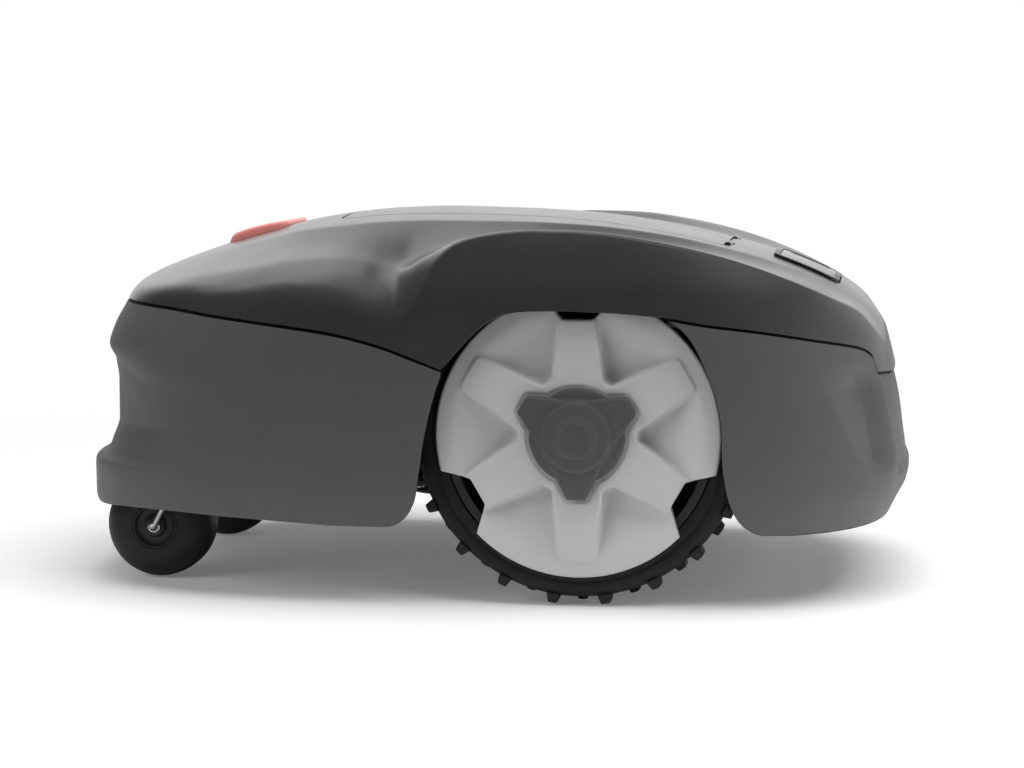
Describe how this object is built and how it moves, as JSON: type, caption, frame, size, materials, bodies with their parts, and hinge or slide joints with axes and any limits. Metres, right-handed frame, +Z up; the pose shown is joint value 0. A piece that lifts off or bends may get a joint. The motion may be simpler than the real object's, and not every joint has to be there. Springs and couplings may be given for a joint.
{
  "type": "robotic lawn mower",
  "caption": "Robotic lawn mower with domed hood over large rear drive wheels, front casters, stop button and a hidden height-adjustable cutting disc.",
  "frame": {"origin": "on the ground plane under the middle of the machine's length and width", "axes": "+Z up, +Y from the caster end (front) to the rear, +X towards the mower's left flank"},
  "size_m": [0.3894, 0.55, 0.2445],
  "materials": {
    "skirt_plastic": "matte grained moulding",
    "hood_paint": "satin metallic grey",
    "red_plastic": "satin",
    "badge_silver": "brushed",
    "badge_black": "gloss",
    "contact_metal": "bright",
    "chassis_plastic": "matte",
    "seal_rubber": "matte",
    "keypad_mat": "matte",
    "lens_clear": "clear",
    "button_green": "satin",
    "battery_wrap": "satin",
    "board_green": "satin",
    "post_rubber": "matte",
    "tyre_rubber": "matte",
    "rim_plastic": "matte",
    "cover_plastic": "satin light grey",
    "cap_plastic": "satin",
    "steel": "satin",
    "bright_steel": "bright",
    "gear_plastic": "satin",
    "gearcase_plastic": "matte",
    "motor_can": "satin",
    "bushing_plastic": "satin",
    "caster_rubber": "matte",
    "caster_core": "satin",
    "sleeve_plastic": "satin",
    "knob_orange": "satin",
    "disc_plastic": "matte"
  },
  "bodies": {
    "chassis": {"chassis_screws": "steel", "chassis_base": "chassis_plastic", "chassis_seal": "seal_rubber", "chassis_cover": "chassis_plastic", "keypad_panel": "keypad_mat", "display_lens": "lens_clear", "battery_pack": "battery_wrap", "control_board": "board_green", "left_gearcase": "gearcase_plastic", "right_gearcase": "gearcase_plastic", "left_drive_motor": "motor_can", "right_drive_motor": "motor_can", "left_caster_bushing": "bushing_plastic", "right_caster_bushing": "bushing_plastic"},
    "suspension": {"suspension_posts": "post_rubber"},
    "outer_body": {"upper_hood": "hood_paint", "hatch_hinge_pin": "steel", "front_skirt": "skirt_plastic", "rear_skirt": "skirt_plastic", "charge_contacts": "contact_metal", "badge_surround": "badge_black", "badge_plate": "badge_silver"},
    "hatch": {"hatch_lid": "hood_paint"},
    "stop_key": {"stop_button": "red_plastic"},
    "start_key": {"start_button": "button_green"},
    "power_key": {"power_button": "red_plastic"},
    "height_control": {"height_cam_sleeve": "sleeve_plastic", "height_knob": "knob_orange"},
    "carriage": {"cutter_carriage": "chassis_plastic", "cutter_motor": "motor_can"},
    "cutter": {"cutter_spindle": "steel", "blade_disc": "disc_plastic", "blade_screws": "steel"},
    "blade_a": {"blade_1": "bright_steel"},
    "blade_b": {"blade_2": "bright_steel"},
    "blade_c": {"blade_3": "bright_steel"},
    "skid": {"skid_plate": "disc_plastic"},
    "left_wheel": {"left_drive_tyre": "tyre_rubber", "left_wheel_rim": "rim_plastic", "left_wheel_cover": "cover_plastic", "left_hub_cap": "cap_plastic", "left_axle_shaft": "steel", "left_axle_nut": "steel", "left_drive_gear": "gear_plastic"},
    "left_pinion": {"left_motor_pinion": "steel"},
    "left_caster_fork": {"left_caster_leg": "bright_steel"},
    "left_caster_wheel": {"left_caster_tyre": "caster_rubber", "left_caster_hub": "caster_core"},
    "right_wheel": {"right_drive_tyre": "tyre_rubber", "right_wheel_rim": "rim_plastic", "right_wheel_cover": "cover_plastic", "right_hub_cap": "cap_plastic", "right_axle_shaft": "steel", "right_axle_nut": "steel", "right_drive_gear": "gear_plastic"},
    "right_pinion": {"right_motor_pinion": "steel"},
    "right_caster_fork": {"right_caster_leg": "bright_steel"},
    "right_caster_wheel": {"right_caster_tyre": "caster_rubber", "right_caster_hub": "caster_core"}
  },
  "joints": [
    {"name": "bump_slide", "type": "slide", "parent": "chassis", "child": "suspension", "axis": [0, 1, 0], "range_m": [-0.004, 0.004], "stiffness_N_per_m": 1500},
    {"name": "lift_slide", "type": "slide", "parent": "suspension", "child": "outer_body", "axis": [0, 0, 1], "range_m": [0, 0.008]},
    {"name": "hatch_hinge", "type": "hinge", "parent": "outer_body", "child": "hatch", "pos_m": [0, 0.154, 0.22106], "axis": [-1, 0, 0], "range_deg": [0, 75]},
    {"name": "stop_press", "type": "slide", "parent": "outer_body", "child": "stop_key", "axis": [0, 0, -1], "range_m": [0, 0.004], "stiffness_N_per_m": 800, "springref_m": -0.002},
    {"name": "start_press", "type": "slide", "parent": "chassis", "child": "start_key", "axis": [0, 0, -1], "range_m": [0, 0.0015], "stiffness_N_per_m": 600, "springref_m": -0.001},
    {"name": "power_press", "type": "slide", "parent": "chassis", "child": "power_key", "axis": [0, 0, -1], "range_m": [0, 0.0015], "stiffness_N_per_m": 600, "springref_m": -0.001},
    {"name": "height_turn", "type": "hinge", "parent": "chassis", "child": "height_control", "pos_m": [0, -0.02, 0.15], "axis": [0, 0, 1], "range_deg": [0, 120]},
    {"name": "carriage_slide", "type": "slide", "parent": "chassis", "child": "carriage", "axis": [0, 0, 1], "range_m": [-0.04, 0]},
    {"name": "cutter_spin", "type": "hinge", "parent": "carriage", "child": "cutter", "pos_m": [0, -0.02, 0.06], "axis": [0, 0, 1], "continuous": true},
    {"name": "skid_spin", "type": "hinge", "parent": "cutter", "child": "skid", "pos_m": [0, -0.02, 0.052], "axis": [0, 0, 1], "continuous": true},
    {"name": "blade_pivot_1", "type": "hinge", "parent": "cutter", "child": "blade_a", "pos_m": [0, 0.044, 0.0595], "axis": [0, 0, 1], "range_deg": [-100, 100]},
    {"name": "blade_pivot_2", "type": "hinge", "parent": "cutter", "child": "blade_b", "pos_m": [-0.05543, -0.052, 0.0595], "axis": [0, 0, 1], "range_deg": [-100, 100]},
    {"name": "blade_pivot_3", "type": "hinge", "parent": "cutter", "child": "blade_c", "pos_m": [0.05543, -0.052, 0.0595], "axis": [0, 0, 1], "range_deg": [-100, 100]},
    {"name": "left_wheel_spin", "type": "hinge", "parent": "chassis", "child": "left_wheel", "pos_m": [0.15, 0.07, 0.1085], "axis": [1, 0, 0], "continuous": true},
    {"name": "left_pinion_spin", "type": "hinge", "parent": "chassis", "child": "left_pinion", "pos_m": [0.09, 0.0376, 0.1085], "axis": [1, 0, 0], "continuous": true},
    {"name": "left_caster_swivel", "type": "hinge", "parent": "chassis", "child": "left_caster_fork", "pos_m": [0.092, -0.2, 0.1], "axis": [0, 0, 1], "continuous": true},
    {"name": "left_caster_roll", "type": "hinge", "parent": "left_caster_fork", "child": "left_caster_wheel", "pos_m": [0.092, -0.22, 0.0355], "axis": [1, 0, 0], "continuous": true},
    {"name": "right_wheel_spin", "type": "hinge", "parent": "chassis", "child": "right_wheel", "pos_m": [-0.15, 0.07, 0.1085], "axis": [1, 0, 0], "continuous": true},
    {"name": "right_pinion_spin", "type": "hinge", "parent": "chassis", "child": "right_pinion", "pos_m": [-0.09, 0.0376, 0.1085], "axis": [1, 0, 0], "continuous": true},
    {"name": "right_caster_swivel", "type": "hinge", "parent": "chassis", "child": "right_caster_fork", "pos_m": [-0.092, -0.2, 0.1], "axis": [0, 0, 1], "continuous": true},
    {"name": "right_caster_roll", "type": "hinge", "parent": "right_caster_fork", "child": "right_caster_wheel", "pos_m": [-0.092, -0.22, 0.0355], "axis": [1, 0, 0], "continuous": true}
  ],
  "couplings": [
    {"joint": "carriage_slide", "follows": "height_turn", "m_per_rad": -0.019099},
    {"joint": "left_pinion_spin", "follows": "left_wheel_spin", "ratio": -3},
    {"joint": "right_pinion_spin", "follows": "right_wheel_spin", "ratio": -3}
  ]
}
